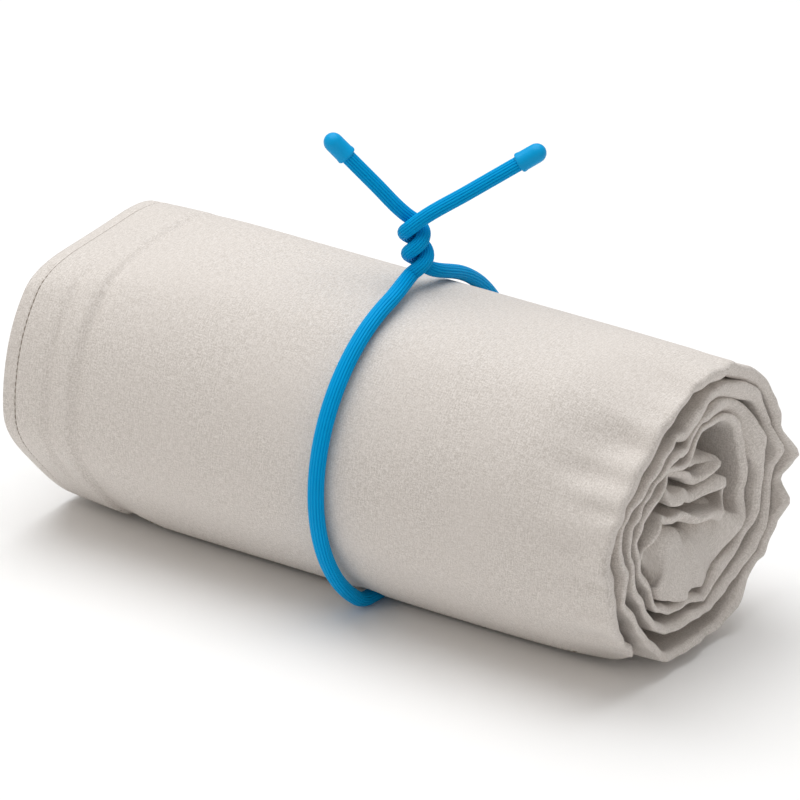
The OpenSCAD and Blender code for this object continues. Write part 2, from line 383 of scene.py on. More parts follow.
def crease_moves(p):
    """How far the open end's creases move each point in Y and Z."""
    open_end = smooth((p[:, 0] - CRUMPLE_X) / (RIGHT_X - CRUMPLE_X))
    radius = np.hypot(p[:, 1], p[:, 2])
    core = 1 - smooth((radius - CORE_R) / CORE_BLEND)
    domain = p * CREASE_DRAW
    move = np.zeros((len(p), 2))
    for length, outer_size, core_size, seed in CREASES:
        size = open_end * (outer_size + (core_size - outer_size) * core)
        for k in (0, 1):
            move[:, k] += size * waves(domain, length, seed + k, count=6, sharp=0.97)
    radial = p[:, 1:] / np.maximum(radius, MM)[:, None]
    out = (move * radial).sum(axis=1)
    rim = smooth((radius - RIM_R) / RIM_BLEND)
    return move - radial * (rim * (out + RIM_INWARD * np.abs(out)))[:, None]


def dent_depths(x, angle, share):
    """How far the pleats and dents press each point inward. share is its radius as a share of the roll's."""
    shell = np.stack([x * PLEAT_DRAW, np.sin(angle) * ROLL_R, np.cos(angle) * ROLL_R], axis=1)
    pleats = np.abs(waves(shell, PLEAT_LENGTH, 61))
    pleat_zone = smooth((x - PLEAT_X) / (RIGHT_X - PLEAT_X))
    dents = 0.5 + 0.35 * waves(shell * DENT_DRAW, DENT_LENGTH, 71)
    depth = share * (PLEAT_SIZE * pleat_zone * pleats + DENT_SIZE * np.clip(dents, 0, 1))
    for at, back, most, wide, long in END_DENTS:
        over = np.exp(-(((angle - math.radians(at)) / math.radians(wide)) ** 2))
        along = np.exp(-(((RIGHT_X - x - back * MM) / (long * MM)) ** 2))
        depth += share**3 * most * MM * over * along
    for back, most, wide, reach in LEFT_RIDGES:
        past = (x - LEFT_X - back * MM) / MM
        beyond = np.maximum(past - LEFT_RIDGE_STEP, 0)
        step = smooth(past / LEFT_RIDGE_STEP) * np.exp(-((beyond / wide) ** 2))
        off = np.abs(angle - LEFT_RIDGE_ANGLE) - math.radians(reach)
        depth += share**3 * most * MM * (1 - smooth(off / LEFT_RIDGE_FADE)) * step
    return depth


def flattened_left(radius, x, angle):
    """The radius with the flats of the left end pressed in."""
    for at, distance, length in LEFT_FLATS:
        near = np.clip(1 - (x - LEFT_X) / (length * MM), 0, 1) ** LEFT_FLAT_CURVE
        facing = np.maximum(np.cos(angle - math.radians(at)), LEAST_COSINE)
        radius = radius * least_with_one((1 - near * (1 - distance * MM / ROLL_R)) / facing, LEFT_BLEND)
    return radius


def settle(points):
    """Creases and dents the roll, flattens its left end and its underside, and lifts it over the tie.

    Takes points round the axis and gives them above the floor.
    """
    p = points.reshape(-1, 3).copy()
    p[:, 1:] += crease_moves(p)
    x = p[:, 0]
    angle = np.arctan2(-p[:, 1], p[:, 2])
    radius = np.hypot(p[:, 1], p[:, 2])
    radius = flattened_left(radius - dent_depths(x, angle, radius / ROLL_R), x, angle)
    lift = GROOVE_H * (1 - smooth((np.abs(x - TIE_X) - GROOVE_HALF_W) / GROOVE_SIDE))
    down = np.maximum(-np.cos(angle), LEAST_COSINE)
    radius = radius * least_with_one((AXIS_Z - lift) / (ROLL_R * down), FLAT_BLEND)
    p[:, 1] = -radius * np.sin(angle)
    p[:, 2] = radius * np.cos(angle) + AXIS_Z
    return p.reshape(points.shape)


# ---------------------------------------------------------------- sheets rolled along the path

# The fold at the open end: its roundness and how far its inner edge falls back, as shares of half the pad's
# thickness there, the power that makes its outer edge blunt, and the most of that half thickness that counts
FOLD_ROUND, FOLD_SLOPE = 0.8, 0.8
FOLD_BLUNT = 0.45
FOLD_MOST = 5.5 * MM
FOLD_COLUMNS = 9
# Sizes, lengths and seeds of the waves along the fold's edge, and of the stronger ones in the core
FOLD_WAVES = [(0.7 * MM, 45 * MM, 5), (0.2 * MM, 16 * MM, 6)]
CORE_WAVES = (1.2 * MM, 26 * MM, 7)
CORE_TURNS = 3


def column_places():
    """Places across the folded cover, from the outer layer's hem over the fold to the inner layer's hem.

    Each is the zone it is in and how far through that zone it is.
    """
    outer = [("outer", x) for x in outer_columns()]
    fold = [("fold", a) for a in np.linspace(math.pi / 2, -math.pi / 2, FOLD_COLUMNS)[1:-1]]
    inner = [("inner", x) for x in inner_columns()]
    return outer + fold + inner


def outer_columns():
    """Places on the outer layer, closest in the hem, the soft steps, over the tie and in the crumpled end."""
    hem = np.array([0, 0.8, 2.5, 4.5, 5.5, 6, 6.4, 6.8, 7.3, 7.9, 8.6, 10, 13, 16]) * MM
    plain = [*np.arange(18 * MM, 44 * MM, 1.6 * MM), *np.linspace(47 * MM, TIE_X - LEFT_X - 17 * MM, 10)]
    tie = np.linspace(-14 * MM, 14 * MM, 14) + TIE_X - LEFT_X
    beyond = np.linspace(TIE_X + 20 * MM, CRUMPLE_X - 4 * MM, 6) - LEFT_X
    return [*hem, *plain, *tie, *beyond, *crumple_columns(30)]


def crumple_columns(count):
    """Places in the crumpled end, as distances from the left end. They are stretched later to the fold."""
    return [CRUMPLE_X - LEFT_X + (RIGHT_X - CRUMPLE_X) * f for f in np.linspace(0, 1, count)]


def inner_columns():
    """Places on the inner layer, back from the fold to its hem. Little of it shows, so they are fewer."""
    plain = np.linspace(CRUMPLE_X - 8 * MM, TIE_X + 14 * MM, 5) - LEFT_X
    tie = np.linspace(12 * MM, -12 * MM, 7) + TIE_X - LEFT_X
    beyond = np.linspace(TIE_X - 22 * MM, LEFT_X + 16 * MM, 8) - LEFT_X
    hem = [12 * MM, 9.2 * MM, 8 * MM, 4 * MM, 0]
    return [*crumple_columns(22)[::-1], *plain, *tie, *beyond, *hem]


def fold_ends():
    """How far along X the fold reaches at each place on the path."""
    s = PATH_S[:, None]
    jag = sum(size * waves(s, length, seed) for size, length, seed in FOLD_WAVES)
    size, length, seed = CORE_WAVES
    jag += size * smooth(PATH_TURN - CORE_TURNS) * waves(s, length, seed)
    return RIGHT_X - end_recess(PATH_TURN) + jag


def cover_grid():
    """Middle of the cloth, as a grid of points along the path and across the folded cover.

    Also each point's distance across the cloth from the outer hem, and the places across.
    """
    ends = fold_ends()
    fold_size = np.minimum(PATH_END_HALF, FOLD_MOST)
    columns = column_places()
    grid = np.zeros((len(PATH), len(columns), 3))
    for j, (zone, place) in enumerate(columns):
        if zone == "fold":
            side = math.sin(place)
            bow = math.cos(place) ** (FOLD_BLUNT if side > 0 else 1)
            x = ends + fold_size * (FOLD_ROUND * (bow - 1) - FOLD_SLOPE * (1 - side) / 2)
        else:
            side = 1 if zone == "outer" else -1
            x = np.full(len(PATH), LEFT_X + place)
            past = np.clip((x - CRUMPLE_X) / (RIGHT_X - CRUMPLE_X), 0, 1)
            start = ends - fold_size * (FOLD_ROUND + FOLD_SLOPE * (1 - side) / 2)
            x = np.where(past > 0, CRUMPLE_X + past * (start - CRUMPLE_X), x)
            hem = 1 - smooth((place - HEM_W) / HEM_EASE + 0.5)
            seam = math.exp(-(((place - SEAM_X) / SEAM_HALF_W) ** 2))
            side *= 1 - (HEM_EXTRA * hem + SEAM_DEPTH * seam) / PATH_HALF
        grid[:, j, 0] = x
        grid[:, j, 1:] = on_path(x, side)
    grid = settle(grid)
    across = np.zeros(grid.shape[:2])
    across[:, 1:] = np.cumsum(np.linalg.norm(np.diff(grid, axis=1), axis=2), axis=1)
    return grid, across, columns


def closed_sheet(name, grid, half_t, u, v):
    """A closed mesh round a grid of points, half_t thick on either side, with its flat size as UVs."""
    along = np.gradient(grid, axis=0)
    over = np.gradient(grid, axis=1)
    normal = np.cross(along, over)
    normal /= np.maximum(np.linalg.norm(normal, axis=2), 1e-12)[:, :, None]
    half = np.broadcast_to(half_t, grid.shape[:2])[:, :, None]
    rows, cols = grid.shape[:2]
    verts = np.concatenate([(grid + normal * half).reshape(-1, 3), (grid - normal * half).reshape(-1, 3)])
    index = np.arange(rows * cols).reshape(rows, cols)
    a, b, c, d = index[:-1, :-1], index[1:, :-1], index[1:, 1:], index[:-1, 1:]
    top = np.stack([a, b, c, d], axis=-1).reshape(-1, 4)
    low = top[:, ::-1] + rows * cols
    rim = np.concatenate([index[0, :], index[1:, -1], index[-1, -2::-1], index[-2:0:-1, 0]])
    turn = np.roll(rim, -1)
    walls = np.stack([rim, turn, turn + rows * cols, rim + rows * cols], axis=-1)
    mesh = bpy.data.meshes.new(name)
    mesh.from_pydata(verts.tolist(), [], np.concatenate([top, low, walls]).tolist())
    uvs = np.stack(np.broadcast_arrays(u[:, None], v), axis=-1).reshape(-1, 2)
    uvs = np.concatenate([uvs, uvs])
    layer = mesh.uv_layers.new(name="flat_cloth")
    loops = np.empty(len(mesh.loops), dtype=np.int32)
    mesh.loops.foreach_get("vertex_index", loops)
    layer.data.foreach_set("uv", uvs[loops].ravel().astype(np.float32))
    return add_object(name, mesh)


def add_object(name, mesh, crease=None):
    """Adds a mesh with smooth shading, but for edges sharper than the crease angle in degrees."""
    mesh.shade_smooth()
    if crease:
        mesh.set_sharp_from_angle(angle=math.radians(crease))
    obj = bpy.data.objects.new(name, mesh)
    bpy.context.scene.collection.objects.link(obj)
    return obj


# ---------------------------------------------------------------- materials


class Nodes:
    """A short way to write a material's nodes."""

    def __init__(self, name, **shader):
        self.material = bpy.data.materials.new(name)
        self.material.use_nodes = True
        self.tree = self.material.node_tree
        self.shader = self.tree.nodes["Principled BSDF"]
        for socket, value in shader.items():
            self.shader.inputs[socket.replace("_", " ")].default_value = value

    def add(self, kind, **inputs):
        node = self.tree.nodes.new("ShaderNode" + kind)
        for key, value in inputs.items():
            if hasattr(node, key):
                setattr(node, key, value)
        return node

    def link(self, value, socket):
        if isinstance(value, bpy.types.NodeSocket):
            self.tree.links.new(value, socket)
        else:
            socket.default_value = value

    def math(self, operation, a, b=0.0, c=0.0, clamp=False):
        node = self.add("Math", operation=operation, use_clamp=clamp)
        for socket, value in zip(node.inputs, (a, b, c)):
            self.link(value, socket)
        return node.outputs[0]

    def scaled(self, vector, scale):
        node = self.add("VectorMath", operation="MULTIPLY")
        self.link(vector, node.inputs[0])
        node.inputs[1].default_value = scale
        return node.outputs[0]

    def noise(self, vector, scale, detail=2.0, rough=0.5):
        node = self.add("TexNoise")
        self.link(self.scaled(vector, scale), node.inputs["Vector"])
        node.inputs["Scale"].default_value = 1.0
        node.inputs["Detail"].default_value = detail
        node.inputs["Roughness"].default_value = rough
        return node.outputs[0]

    def mix(self, share, a, b):
        node = self.add("Mix", data_type="RGBA")
        self.link(share, node.inputs[0])
        self.link(a, node.inputs[6])
        self.link(b, node.inputs[7])
        return node.outputs[2]

    def ramp(self, value, low, high):
        node = self.add("MapRange", interpolation_type="SMOOTHSTEP")
        self.link(value, node.inputs["Value"])
        node.inputs["From Min"].default_value = low
        node.inputs["From Max"].default_value = high
        return node.outputs[0]

    def bump(self, height, distance, strength=1.0, normal=None):
        node = self.add("Bump")
        self.link(height, node.inputs["Height"])
        node.inputs["Distance"].default_value = distance
        node.inputs["Strength"].default_value = strength
        if normal:
            self.link(normal, node.inputs["Normal"])
        return node.outputs[0]


def linear(value):
    """A 0 to 255 value of a screen colour, made linear."""
    return ((value / 255 + 0.055) / 1.055) ** 2.4 if value > 10 else value / 3295


def colour(red, green, blue):
    return (linear(red), linear(green), linear(blue), 1)


THREAD_PITCH = 0.85 * MM


def canvas_material():
    """Unbleached plain-weave cotton with uneven threads, dark flecks, faint clouds and a painted shadow line
    along the seam's groove.
    """
    m = Nodes("canvas", Roughness=0.88, Sheen_Weight=0.12, Sheen_Roughness=0.5)
    m.shader.inputs["Specular IOR Level"].default_value = 0.25
    flat = m.add("UVMap", uv_map="flat_cloth").outputs[0]
    place = m.add("TexCoord").outputs["Object"]
    wobble = m.math("MULTIPLY", m.noise(flat, (90, 90, 1), 1.0), 0.5 * MM)
    parts = m.add("SeparateXYZ")
    m.link(flat, parts.inputs[0])
    warp, weft = (
        m.math("SINE", m.math("MULTIPLY", m.math("ADD", part, wobble), 2 * math.pi / THREAD_PITCH))
        for part in (parts.outputs[0], parts.outputs[1])
    )
    weave = m.math("MULTIPLY", warp, weft)
    slub_u = m.noise(flat, (1 / (3 * MM), 1 / (0.6 * MM), 1), 2.0)
    slub_v = m.noise(flat, (1 / (0.6 * MM), 1 / (3 * MM), 1), 2.0)
    slubs = m.math("ADD", slub_u, slub_v)
    grain = m.noise(flat, (1 / (0.7 * MM), 1 / (0.7 * MM), 1), 3.0, 0.7)
    threads = m.math("MULTIPLY_ADD", weave, 0.25, m.math("MULTIPLY_ADD", grain, 0.8, slubs))
    clouds = m.noise(place, (20, 20, 20), 3.0, 0.6)
    speckle = m.math("MULTIPLY_ADD", grain, 1.4, m.math("MULTIPLY", slubs, 0.6))
    tone = m.mix(m.ramp(speckle, 1.0, 1.65), colour(196, 189, 182), colour(234, 228, 223))
    tone = m.mix(m.math("MULTIPLY", m.ramp(clouds, 0.3, 0.75), 0.45), tone, colour(219, 212, 206))
    flecks = m.ramp(m.noise(flat, (1 / (1.3 * MM), 1 / (1.1 * MM), 1), 1.0), 0.78, 0.86)
    tone = m.mix(m.math("MULTIPLY", flecks, 0.5), tone, colour(150, 132, 110))
    # Painted shade: a thin dark line along the seam, standing in for the shadow in its pressed-in groove
    from_seam = m.math("ABSOLUTE", m.math("SUBTRACT", parts.outputs[1], SEAM_X + 0.15 * MM))
    tone = m.mix(m.math("MULTIPLY", m.ramp(from_seam, 0.7 * MM, 0.2 * MM), 0.6), tone, colour(112, 100, 88))
    m.link(tone, m.shader.inputs["Base Color"])
    rumple = m.bump(m.noise(place, (70, 150, 150), 3.0, 0.5), 0.7 * MM, 0.5)
    fine = m.bump(threads, 0.16 * MM, 0.8, rumple)
    m.link(fine, m.shader.inputs["Normal"])
    return m.material


def foam_material():
    m = Nodes("closed_cell_foam", Roughness=0.8)
    place = m.add("TexCoord").outputs["Object"]
    cells = m.noise(place, (1400, 1400, 1400), 2.0)
    m.link(m.mix(cells, colour(208, 206, 196), colour(226, 224, 216)), m.shader.inputs["Base Color"])
    m.link(m.bump(cells, 0.15 * MM, 0.6), m.shader.inputs["Normal"])
    return m.material


def thread_material():
    m = Nodes("hem_thread", Roughness=0.75)
    place = m.add("TexCoord").outputs["Object"]
    ply = m.noise(place, (2600, 2600, 2600), 1.0)
    m.link(m.mix(ply, colour(118, 108, 97), colour(146, 136, 124)), m.shader.inputs["Base Color"])
    m.link(m.bump(ply, 0.1 * MM, 0.8), m.shader.inputs["Normal"])
    return m.material


def rubber_material(name, roughness, shine):
    """Soft blue rubber with a faint moulded grain."""
    m = Nodes(name, Roughness=roughness)
    m.shader.inputs["Specular IOR Level"].default_value = shine
    place = m.add("TexCoord").outputs["Object"]
    grain = m.noise(place, (900, 900, 900), 3.0)
    patches = m.noise(place, (120, 120, 120), 2.0)
    m.link(m.mix(patches, colour(0, 154, 214), colour(0, 163, 226)), m.shader.inputs["Base Color"])
    m.link(m.bump(grain, 0.05 * MM, 0.5), m.shader.inputs["Normal"])
    return m.material


def steel_material():
    m = Nodes("steel_wire", Metallic=1.0, Roughness=0.35)
    place = m.add("TexCoord").outputs["Object"]
    drawn = m.noise(place, (500, 500, 500), 2.0)
    m.link(m.mix(drawn, colour(150, 152, 156), colour(176, 178, 182)), m.shader.inputs["Base Color"])
    return m.material


def finish_piece(obj, material):
    obj.data.materials.clear()
    obj.data.materials.append(material)
    return obj


CANVAS = canvas_material()
FOAM = foam_material()
THREAD = thread_material()
RUBBER = rubber_material("ribbed_rubber", 0.45, 0.06)
CAP_RUBBER = rubber_material("cap_rubber", 0.36, 0.16)
STEEL = steel_material()

# ---------------------------------------------------------------- cover and foam

cover_points, cover_across, cover_columns = cover_grid()
near_hem = np.array([zone != "fold" and place < HEM_W for zone, place in cover_columns])
cloth_half = np.where(near_hem, CLOTH_HALF_T + HEM_EXTRA, CLOTH_HALF_T)[None, :]
cover = closed_sheet("pad_cover_cloth", cover_points, cloth_half, PATH_S, cover_across)
finish_piece(cover, CANVAS)
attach(cover, "roll")
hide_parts("pad_cover", "cover_underside")


def foam_grid():
    """The foam sheet, folded in half inside the cover.

    It starts where the pad is full and ends before the core.
    """
    inside = (PATH_TURN > EDGE_TURNS) & (PATH_S < PATH_LENGTH - FOAM_END_GAP)
    path, out = PATH[inside], PATH_OUT[inside]
    fold_x = FOAM_RIGHT_X - FOAM_OFFSET
    xs = [
        *np.arange(FOAM_LEFT_X, LEFT_X + 46 * MM, 2 * MM),
        *np.linspace(LEFT_X + 50 * MM, TIE_X - 16 * MM, 5),
        *np.linspace(TIE_X - 12 * MM, TIE_X + 12 * MM, 7),
        TIE_X + 18 * MM,
        FOAM_RIGHT_X - 12 * MM,
        fold_x,
    ]
    places = [(x, FOAM_OFFSET) for x in xs]
    for a in np.linspace(math.pi / 2, -math.pi / 2, 7)[1:-1]:
        places.append((fold_x + FOAM_OFFSET * math.cos(a), FOAM_OFFSET * math.sin(a)))
    places += [(x, -FOAM_OFFSET) for x in xs[::-1]]
    grid = np.zeros((len(path), len(places), 3))
    for j, (x, side) in enumerate(places):
        grid[:, j, 0] = x
        grid[:, j, 1:] = path + out * side
    flat = np.concatenate([[0], np.cumsum(np.hypot(*np.diff(np.array(places), axis=0).T))])
    return settle(grid), PATH_S[inside], flat


foam_points, foam_u, foam_v = foam_grid()
foam = closed_sheet("foam_sheet", foam_points, FOAM_HALF_T, foam_u, foam_v)
finish_piece(foam, FOAM)
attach(foam, "roll")
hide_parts("foam_core")

# ---------------------------------------------------------------- hem stitches

STITCH_L, STITCH_PITCH, STITCH_W, STITCH_H = 2.8 * MM, 3.0 * MM, 0.6 * MM, 0.25 * MM
# The side seam is stitched this far round, where its layer goes under the free edge
SEAM_TURNS = 0.985
END_SEAM_DEPTH = 0.3 * MM
# Length over which the cloth's directions are measured
PROBE = 0.5 * MM


def thread_bit(length, width, height, sides=8, rings=7):
    """One stitch, a short thread that dives into the cloth at both ends, along its first axis."""
    verts, faces = [], []
    for i in range(rings):
        f = i / (rings - 1)
        bow = math.sin(math.pi * f)
        size = 0.35 + 0.65 * bow**0.5
        for k in range(sides):
            a = 2 * math.pi * k / sides
            verts.append(
                (
                    (f - 0.5) * length,
                    math.cos(a) * width / 2 * size,
                    math.sin(a) * width / 2 * size + (bow - 0.6) * height,
                )
            )
    for i in range(rings - 1):
        for k in range(sides):
            a, b = i * sides + k, i * sides + (k + 1) % sides
            faces.append((a, b, b + sides, a + sides))
    faces.append(tuple(reversed(range(sides))))
    faces.append(tuple((rings - 1) * sides + k for k in range(sides)))
    return np.array(verts), faces


def place_stitches(name, centres, directions, normals, length, width):
    shape, faces = thread_bit(length, width, STITCH_H)
    verts, all_faces = [], []
    for centre, along, normal in zip(centres, directions, normals):
        side = np.cross(normal, along)
        first = len(verts) * len(shape)
        verts.append(centre + shape @ np.array([along, side, normal]))
        all_faces += [tuple(first + i for i in face) for face in faces]
    mesh = bpy.data.meshes.new(name)
    mesh.from_pydata(np.vstack(verts).tolist(), [], all_faces)
    obj = add_object(name, mesh)
    finish_piece(obj, THREAD)
    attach(obj, "roll")
    return obj


def on_outer_layer(s_values, x):
    """Points on the outside of the outer layer, and the directions along the path, along X and outward."""
    half = np.interp(s_values, PATH_S, PATH_HALF)
    line = np.stack([np.interp(s_values, PATH_S, PATH[:, k]) for k in (0, 1)], axis=1)
    out = np.stack([np.interp(s_values, PATH_S, PATH_OUT[:, k]) for k in (0, 1)], axis=1)
    surface = line + out * (half + CLOTH_HALF_T)[:, None]
    x = np.broadcast_to(x, s_values.shape)
    here = settle(np.column_stack([x, surface]))
    beside = settle(np.column_stack([x + PROBE, surface]))
    ahead = PROBE * np.column_stack([out[:, 1], -out[:, 0]])
    onward = settle(np.column_stack([x, surface + ahead]))
    along = unit_rows(onward - here)
    over = unit_rows(beside - here)
    normal = unit_rows(np.cross(along, over))
    from_axis = (here - [0, 0, AXIS_Z]) * [0, 1, 1]
    normal *= np.sign((normal * from_axis).sum(axis=1))[:, None]
    return here, along, over, normal


first_turn_length = float(np.interp(SEAM_TURNS, PATH_TURN, PATH_S))
rim_s = np.arange(HEM_W, first_turn_length, STITCH_PITCH)
points, along, over, normals = on_outer_layer(rim_s, LEFT_X + SEAM_X)
points -= normals * SEAM_DEPTH
side_stitches = place_stitches("side_hem_thread", points, along, normals, STITCH_L, STITCH_W)
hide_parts("side_hem_stitching")

edge_x = np.arange(LEFT_X + 2 * HEM_W, RIGHT_X - 5 * HEM_W, STITCH_PITCH)
edge_x = edge_x[np.abs(edge_x - TIE_X) > STRAND_W]
points, along, over, normals = on_outer_layer(np.full(len(edge_x), HEM_W), edge_x)
points -= normals * END_SEAM_DEPTH
end_stitches = place_stitches("end_hem_thread", points, over, normals, STITCH_L, STITCH_W)
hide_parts("end_hem_stitching")

# ---------------------------------------------------------------- the tie

# The loop round the roll, the height of its lower run, and the angles where it leaves the roll for the twist
LOOP_R = ROLL_R + STRAND_T / 2 + FIT_GAP
LOOP_LOW = GROUND_GAP + STRAND_T / 2
FRONT_LEAVES, BACK_LEAVES = math.radians(16), math.radians(-27)
CORNER_CUT = 5 * MM
# The two strands of the twist go round a leaning line, each this far round it
TWIST_R = STRAND_T / 2 + 0.75 * MM
TWIST_PITCH = 18.4 * MM
TWIST_BASE = np.array([TIE_X - 2.5 * MM, 7 * MM, AXIS_Z + 76.2 * MM])
TWIST_LEAN = np.array([-0.2, 0, 1])
TWIST_TURNED = math.radians(395)
LEAD_HANDLE = 9 * MM
FRONT_TWIST, BACK_TWIST = math.radians(-90), math.radians(90)
# The strand's section
RIBS = 16
RIB_DEPTH = 0.12
RING_POINTS = RIBS * 8
STRAND_STEP = 1.2 * MM


def unit(v):
    return v / np.linalg.norm(v)


def loop_point(angle):
    return np.array([TIE_X, -LOOP_R * math.sin(angle), AXIS_Z + LOOP_R * math.cos(angle)])


def twist_point(start, turned):
    rise = TWIST_BASE + TWIST_LEAN * TWIST_PITCH * turned / (2 * math.pi)
    return rise + TWIST_R * np.array([math.cos(start + turned), math.sin(start + turned), 0])


def twist_direction(start, turned):
    return unit(twist_point(start, turned + 0.01) - twist_point(start, turned - 0.01))


def lead_points(leaves, start, way):
    """From the loop up to the twist. way is 1 at the roll's front and -1 at its back."""
    a = loop_point(leaves)
    b = a + way * LEAD_HANDLE * np.array([0, math.cos(leaves), math.sin(leaves)])
    d = twist_point(start, 0)
    c = d - LEAD_HANDLE * 0.5 * twist_direction(start, 0)
    t = np.linspace(0, 1, 13)[1:-1, None]
    return (1 - t) ** 3 * a + 3 * (1 - t) ** 2 * t * b + 3 * (1 - t) * t * t * c + t**3 * d


def half_loop(leaves, way):
    drop = AXIS_Z - LOOP_LOW
    corner_angle = math.pi - math.acos(drop / LOOP_R)
    corner_y = LOOP_R * math.sin(corner_angle)
    end = corner_angle - CORNER_CUT / LOOP_R
    round_part = [loop_point(a) for a in np.linspace(leaves, way * end, 60)]
    corner = np.array([TIE_X, -way * corner_y, LOOP_LOW])
    low = np.array([TIE_X, -way * (corner_y - CORNER_CUT), LOOP_LOW])
    t = np.linspace(0, 1, 8)[1:-1, None]
    turn = (1 - t) ** 2 * round_part[-1] + 2 * t * (1 - t) * corner + t * t * low
    flat = [np.array([TIE_X, -way * y, LOOP_LOW]) for y in np.linspace(corner_y - CORNER_CUT, 2 * MM, 12)]
    return np.vstack([round_part, turn, flat])


def twist_points(start):
    return np.array([twist_point(start, a) for a in np.linspace(0, TWIST_TURNED, 60)])


def tie_route():
    route = np.vstack(
        [
            twist_points(FRONT_TWIST)[::-1],
            lead_points(FRONT_LEAVES, FRONT_TWIST, 1)[::-1],
            half_loop(FRONT_LEAVES, 1),
            half_loop(BACK_LEAVES, -1)[::-1],
            lead_points(BACK_LEAVES, BACK_TWIST, -1),
            twist_points(BACK_TWIST),
        ]
    )
    return resample(route, STRAND_STEP)[0]


def in_twist(z):
    return float(smooth((z - TWIST_BASE[2] + 4 * MM) / (6 * MM)))


def strand_frames(line):
    """Each place's across and outward directions and half sizes. The flat side lies on the roll.

    Past the loop the strand isn't turned about itself, so its ribs run on into the twist.
    """
    ways = unit_rows(np.gradient(line, axis=0))
    ways[0] = -twist_direction(FRONT_TWIST, TWIST_TURNED)
    ways[-1] = twist_direction(BACK_TWIST, TWIST_TURNED)
    across = np.zeros_like(line)
    loop = [i for i, p in enumerate(line) if in_twist(p[2]) == 0]
    for i in loop:
        low = line[i][2] < LOOP_LOW + 0.1 * MM
        outward = [0, 0, -1] if low else unit(np.array([0, line[i][1], line[i][2] - AXIS_Z]))
        across[i] = unit(np.cross(ways[i], outward))
    after = [(i, i - 1) for i in range(loop[-1] + 1, len(line))]
    before = [(i, i + 1) for i in range(loop[0] - 1, -1, -1)]
    for i, last in after + before:
        across[i] = unit(across[last] - ways[i] * across[last].dot(ways[i]))
    frames = []
    for p, side, way in zip(line, across, ways):
        half_w = STRAND_W / 2 + (STRAND_T - STRAND_W) / 2 * in_twist(p[2])
        frames.append((side, np.cross(side, way), half_w, STRAND_T / 2))
    return frames


def ribbed_ring(centre, across, out, half_w, half_t):
    """A ring of the strand's section, with rounded ribs between narrow grooves."""
    ring = []
    for k in range(RING_POINTS):
        a = 2 * math.pi * k / RING_POINTS
        groove = (0.5 - 0.5 * math.cos(RIBS * a)) ** 4
        size = 1 - RIB_DEPTH * groove
        ring.append(centre + across * half_w * size * math.cos(a) + out * half_t * size * math.sin(a))
    return ring


def strand_mesh(name, path, frames, closed_ends=True):
    """The rubber strand along a path. Each frame is its across and outward directions and its half sizes."""
    verts, faces = [], []
    for centre, (across, out, half_w, half_t) in zip(path, frames):
        verts += ribbed_ring(centre, across, out, half_w, half_t)
    n = RING_POINTS
    for i in range(len(path) - 1):
        for k in range(n):
            a, b = i * n + k, i * n + (k + 1) % n
            faces.append((a, b, b + n, a + n))
    if closed_ends:
        faces.append(tuple(reversed(range(n))))
        faces.append(tuple((len(path) - 1) * n + k for k in range(n)))
    mesh = bpy.data.meshes.new(name)
    mesh.from_pydata([tuple(v) for v in verts], [], faces)
    return add_object(name, mesh, crease=70)


tie_line = tie_route()
tie_frames = strand_frames(tie_line)
tie_rubber = strand_mesh("tie_rubber", tie_line, tie_frames)
finish_piece(tie_rubber, RUBBER)
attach(tie_rubber, "tie")
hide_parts("tie_sleeve")

# ---------------------------------------------------------------- tails and caps

TAIL_ROOT_SHARE = 0.46
ROOT_STEP = 3.6 * MM
CAP_L, CAP_D = 13 * MM, 9 * MM
CAP_SOCKET = 7 * MM
# Half of the stretch that bends at each joint
BEND_HALF = 4.5 * MM


def nearest_turn(frame, way, target):
    """The frame turned by whole ribs until its first direction is nearest the target."""
    across = unit(frame[0] - way * frame[0].dot(way))
    out = np.cross(across, way)
    turns = [2 * math.pi * k / RIBS for k in range(RIBS)]
    return max((across * math.cos(a) + out * math.sin(a) for a in turns), key=lambda v: v.dot(target))


def tail_piece(name, start, end, leaving, direction, side, frame, half_from):
    """A stretch of tail from start to end. Its section turns from the given frame's to the flat one."""
    count = max(int(np.linalg.norm(end - start) / STRAND_STEP), 3)
    t = np.linspace(0, 1, count)
    handle = np.linalg.norm(end - start) / 3
    b, c = start + leaving * handle, end - direction * handle
    s = t[:, None]
    path = (1 - s) ** 3 * start + 3 * (1 - s) ** 2 * s * b + 3 * (1 - s) * s * s * c + s**3 * end
    ways = unit_rows(np.gradient(path, axis=0))
    first = nearest_turn(frame, ways[0], side)
    frames = []
    for f, way in zip(t, ways):
        target = first * (1 - float(smooth(f * 1.6))) + side * float(smooth(f * 1.6))
        across = unit(target - way * target.dot(way))
        half_w = half_from + (STRAND_W / 2 - half_from) * float(smooth(f * 2))
        frames.append((across, np.cross(across, way), half_w, STRAND_T / 2))
    return finish_piece(strand_mesh(name, path, frames), RUBBER)


def lathe(name, base, direction, profile, sides=64):
    """A turned solid. The profile is radius and height pairs from one end of its axis to the other."""
    side = unit(np.cross(direction, [0.3, 0.2, 0.9]))
    other = np.cross(direction, side)
    verts, faces = [], []
    for radius, height in profile:
        for k in range(sides):
            a = 2 * math.pi * k / sides
            outward = side * math.cos(a) + other * math.sin(a)
            verts.append(tuple(base + direction * height + radius * outward))
    for i in range(len(profile) - 1):
        for k in range(sides):
            a, b = i * sides + k, i * sides + (k + 1) % sides
            faces.append((a, b, b + sides, a + sides))
    faces.append(tuple(reversed(range(sides))))
    faces.append(tuple((len(profile) - 1) * sides + k for k in range(sides)))
    mesh = bpy.data.meshes.new(name)
    mesh.from_pydata(verts, [], faces)
    return add_object(name, mesh)


